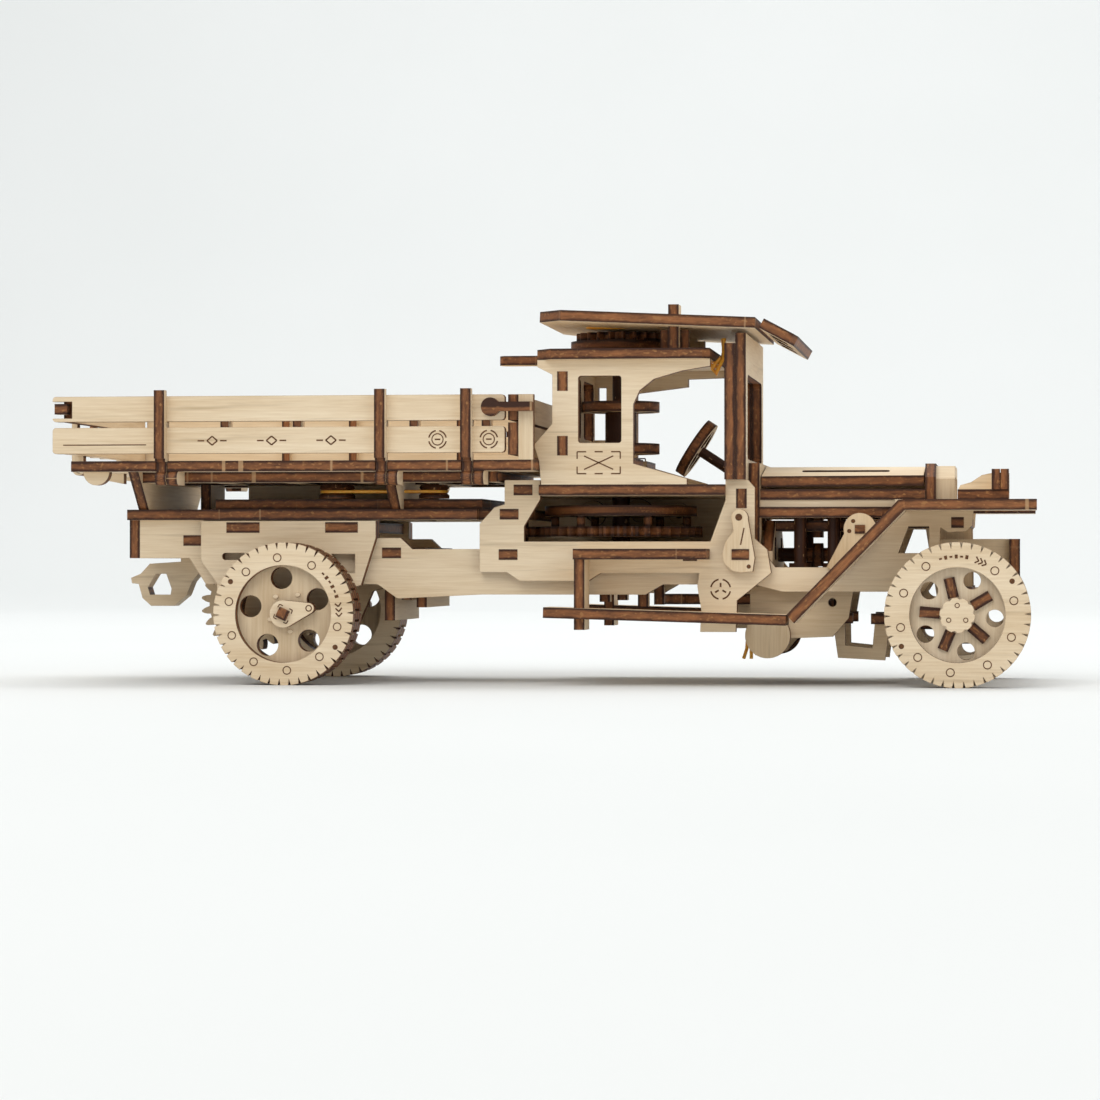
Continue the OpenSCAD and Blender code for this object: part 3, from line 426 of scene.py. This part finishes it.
def wheel_details(side, hand):
    rear, front = (REAR, AXLE_Z), (FRONT, AXLE_Z)
    rear_wheel, front_wheel = "rear_wheels", "front_wheel_" + side
    marks = tyre_marks(rear, [96, 132, 167.5, 202.5, 238, 274, 311, 347, 59], (46, 14), (9, -1), [149, -32])
    marks.place("rear_tyre_marks_" + side, rear_wheel, TYRE_FACE, ENGRAVED, "rear_tyre_" + side, hand)
    rivets = [122.7, 157.7, -167.6, -133, -97, -59, -22.3, 14.5, 50]
    marks = tyre_marks(front, rivets, (108, 77), (70, 62), [32, -150.6])
    marks.place("front_tyre_marks_" + side, front_wheel, TYRE_FACE, ENGRAVED, "front_tyre_" + side, hand)
    marks = Marks()
    for k in range(4):
        corner = polar(rear, 2.9, 20 + 90 * k)
        for turn in (140, 240):
            marks.bar(corner, polar(corner, 1.0, 20 + 90 * k + turn - 10), 0.3)
    marks.ring((rear[0] + 7.4, rear[1] + 1.6), 0.8)
    marks.place("hub_lock_marks_" + side, rear_wheel, TYRE_FACE, ENGRAVED, "hub_locks", hand)
    marks = Marks()
    for k in range(3):
        marks.ring(polar(front, 2.7, 90 + 120 * k), 0.6, 0.25)
    marks.place("front_cap_marks_" + side, front_wheel, CAP_FACE, ENGRAVED, "front_disc_" + side, hand)
    pins = Marks()
    for r, a in ((5.6, 119), (6.6, 56), (4.6, 200), (5.3, -73)):
        pins.dot(polar(rear, r, a), 0.8, 0.5, 0.25)
    pins.place("rear_disc_pins_" + side, rear_wheel, DISC_FACE, FACE, "rear_discs", hand)


def plate_details(side, hand):
    marks = Marks()
    marks.bar((-136.2, 68.2), (-112.0, 68.2), 0.3)
    for x in (-92.8, -75.6, -58.5):
        marks.path([(x, 70.55), (x + 1.5, 69.3), (x, 68.05), (x - 1.5, 69.3), (x, 70.55)], 0.4)
        for s in (-1, 1):
            marks.bar((x + s * 2.3, 69.3), (x + s * 4.2, 69.3), 0.4)
    for x in (-28.0, -13.4):
        for k in range(4):
            marks.arc((x, 69.4), 2.5, 90 * k + 12, 90 * k + 78, 0.4, 5)
        marks.ring((x, 69.4), 1.6, 0.3)
        marks.bar((x - 0.8, 69.4), (x + 0.8, 69.4), 0.4)
    marks.place("board_marks_" + side, "drop_side_" + side, BOARD_FACE, ENGRAVED, "side_boards_" + side, hand)
    marks = Marks()
    x0, x1, z0, z1 = 10.2, 22.5, 59.9, 66.1
    for x, z, sx, sz in ((x0, z0, 1, 1), (x1, z0, -1, 1), (x1, z1, -1, -1), (x0, z1, 1, -1)):
        marks.path([(x + 2.6 * sx, z), (x, z), (x, z + 2.0 * sz)], 0.35)
    marks.bar((x0 + 2.0, z0 + 1.2), (x1 - 2.0, z1 - 1.2), 0.35)
    marks.bar((x0 + 2.0, z1 - 1.2), (x1 - 2.0, z0 + 1.2), 0.35)
    for x in (x0 + 5.0, x1 - 7.3):
        for z in (z0, z1):
            marks.bar((x, z), (x + 2.3, z), 0.35)
    marks.place("cab_marks_" + side, "chassis", CAB_FACE, ENGRAVED, "cab_side_" + side, hand)
    marks = Marks()
    for k in range(4):
        marks.arc((50.7, 27.2), 2.8, 90 * k + 12, 90 * k + 78, 0.45, 5)
    for k in range(3):
        marks.bar(polar((50.7, 27.2), 0.6, 90 + 120 * k), polar((50.7, 27.2), 1.8, 90 + 120 * k), 0.5)
    marks.place("frame_marks_" + side, "chassis", PLATE_FACE, ENGRAVED, "frame_plate_" + side, hand)
    marks = Marks()
    marks.dot((88.1, 46.4), 0.6)
    marks.dot((87.0, 43.6), 0.6)
    marks.place("engine_cap_marks_" + side, "chassis", PLATE_FACE, ENGRAVED, "engine_block", hand)


def tube(bm, points, r=0.5, sides=8):
    """A round strand along a line of points."""
    points = [Vector(p) * MM for p in points]
    rings = []
    for k, p in enumerate(points):
        way = (points[min(k + 1, len(points) - 1)] - points[max(k - 1, 0)]).normalized()
        u = way.orthogonal().normalized() if not rings else (last - way * last.dot(way)).normalized()
        last = u
        v = way.cross(u)
        rings.append([bm.verts.new(p + (u * math.cos(a) + v * math.sin(a)) * r * MM)
                      for a in (2 * math.pi * j / sides for j in range(sides))])
    for one, two in zip(rings, rings[1:]):
        for j in range(sides):
            bm.faces.new((one[j], one[(j + 1) % sides], two[(j + 1) % sides], two[j]))
    bm.faces.new(rings[0][::-1])
    bm.faces.new(rings[-1])


def loop(centres, z, steps=12):
    """A belt round two discs in a level plane: their centres and radii."""
    (xa, ya, ra), (xb, yb, rb) = centres
    points = [(xb + rb * math.sin(math.pi * k / steps), yb + rb * math.cos(math.pi * k / steps), z)
              for k in range(steps + 1)]
    points += [(xa - ra * math.sin(math.pi * k / steps), ya - ra * math.cos(math.pi * k / steps), z)
               for k in range(steps + 1)]
    return points + points[:1]


def bands():
    bm = bmesh.new()
    tube(bm, loop(((-61.7, -19.0, 4.5), (-33.2, -19.0, 3.8)), 55.2), 0.45)
    finish_piece("pulley_band", bm, "chassis", RUBBER)
    bm = bmesh.new()
    for k, (y, low) in enumerate(((-22.6, 88.2), (-21.8, 89.2), (-21.0, 90.4))):
        tube(bm, [(51.2 - 0.4 * k, y, 98.6), (50.8, y, 95.4), (51.0 - 0.3 * k, y - 0.3, 92.8),
                  (50.0 - 0.2 * k, y, 91.0), (48.8 - 0.3 * k, y + 0.2, low),
                  (47.6 - 0.4 * k, y + 0.2, low + 1.6), (48.9, y + 0.4, 91.8), (50.1, y + 0.3, 93.2)], 0.45)
    finish_piece("roof_band_tail", bm, "chassis", RUBBER)
    bm = bmesh.new()
    for x, y, lean in ((58.4, -17.0, 0.0), (57.0, -16.0, -0.9)):
        tail = [(60.0, y, 24.6), (59.2, y, 20.0), (x + 0.3, y, 14.0), (x, y, 10.0), (x + lean, y, 7.2)]
        tube(bm, tail, 0.5)
    finish_piece("gearbox_band_tails", bm, "chassis", RUBBER)
    bm = bmesh.new()
    tube(bm, loop(((12.0, -13.0, 1.4), (31.0, -12.0, 1.4)), 102.6), 0.4)
    finish_piece("pawl_band", bm, "chassis", RUBBER)


for side_name, side_hand in (("right", -1), ("left", 1)):
    wheel_details(side_name, side_hand)
    plate_details(side_name, side_hand)
lever_marks = Marks()
lever_marks.bar((57.6, 44.5), (56.6, 39.7), 0.4)
lever_marks.dot((56.1, 47.5), 1.0)
lever_marks.dot((58.9, 33.6), 0.6)
lever_marks.place("shift_lever_marks", "shift_lever", LEVER_FACE, ENGRAVED, "shift_lever")
bands()


# ------------------------------------------------------------------ stage, light and camera

def backdrop():
    """A plain pale sweep: a floor that curves up into a wall far behind."""
    profile = [(-2.2, 0.0), (1.6, 0.0)]
    radius = 1.2
    for k in range(1, 13):
        a = math.pi / 2 * k / 12
        profile.append((1.6 + radius * math.sin(a), radius * (1 - math.cos(a))))
    profile.append((1.6 + radius, 4.0))
    bm = bmesh.new()
    rows = [[bm.verts.new((x, y, z)) for y, z in profile] for x in (-5.0, 5.0)]
    for i in range(len(profile) - 1):
        bm.faces.new((rows[0][i], rows[1][i], rows[1][i + 1], rows[0][i + 1]))
    mesh = bpy.data.meshes.new("backdrop")
    bm.to_mesh(mesh)
    bm.free()
    for polygon in mesh.polygons:
        polygon.use_smooth = True
    obj = bpy.data.objects.new("backdrop", mesh)
    SCENE.collection.objects.link(obj)
    mat, nt, shader, make = tree("pale_paper")
    where = make("ShaderNodeTexCoord").outputs["Object"]
    cloud = noise(make, where, 3.0, 2)
    paper = ramp(make, cloud, [(0.2, (0.815, 0.832, 0.825)), (0.8, (0.84, 0.855, 0.85))])
    nt.links.new(paper, shader.inputs["Base Color"])
    shader.inputs["Roughness"].default_value = 0.9
    shader.inputs["Specular IOR Level"].default_value = 0.1
    mesh.materials.append(mat)


def lamp(name, place, target, size, watts, colour=(1, 1, 1)):
    data = bpy.data.lights.new(name, "AREA")
    data.shape, data.size, data.energy, data.color = "SQUARE", size, watts, colour
    obj = bpy.data.objects.new(name, data)
    obj.location = place
    obj.rotation_euler = (Vector(target) - Vector(place)).to_track_quat("-Z", "Y").to_euler()
    SCENE.collection.objects.link(obj)


def camera():
    data = bpy.data.cameras.new("camera")
    data.sensor_width = 36.0
    data.lens = 112.55
    data.shift_x = -0.04
    data.clip_start, data.clip_end = 0.01, 20.0
    obj = bpy.data.objects.new("camera", data)
    obj.location = (0.1344, -0.999, 0.0347)
    turn, dip = math.radians(7.045), math.radians(-0.211)
    obj.rotation_euler = (math.pi / 2 - dip, 0.0, turn)
    SCENE.collection.objects.link(obj)
    SCENE.camera = obj


backdrop()
camera()
world = bpy.data.worlds.new("studio")
world.use_nodes = True
world.node_tree.nodes["Background"].inputs["Color"].default_value = (0.965, 0.985, 0.99, 1)
world.node_tree.nodes["Background"].inputs["Strength"].default_value = 0.42
SCENE.world = world
lamp("key", (-0.5, -1.3, 1.5), (0, 0, 0.04), 1.4, 17.0, (1.0, 0.985, 0.96))
lamp("top", (0.2, 0.3, 1.6), (0, 0, 0.0), 1.6, 8.0)
lamp("front_fill", (1.4, -1.2, 0.6), (0, 0, 0.05), 1.0, 4.5)
lamp("wall", (0.0, 1.2, 2.6), (0.0, 3.0, 0.6), 2.5, 39.0)
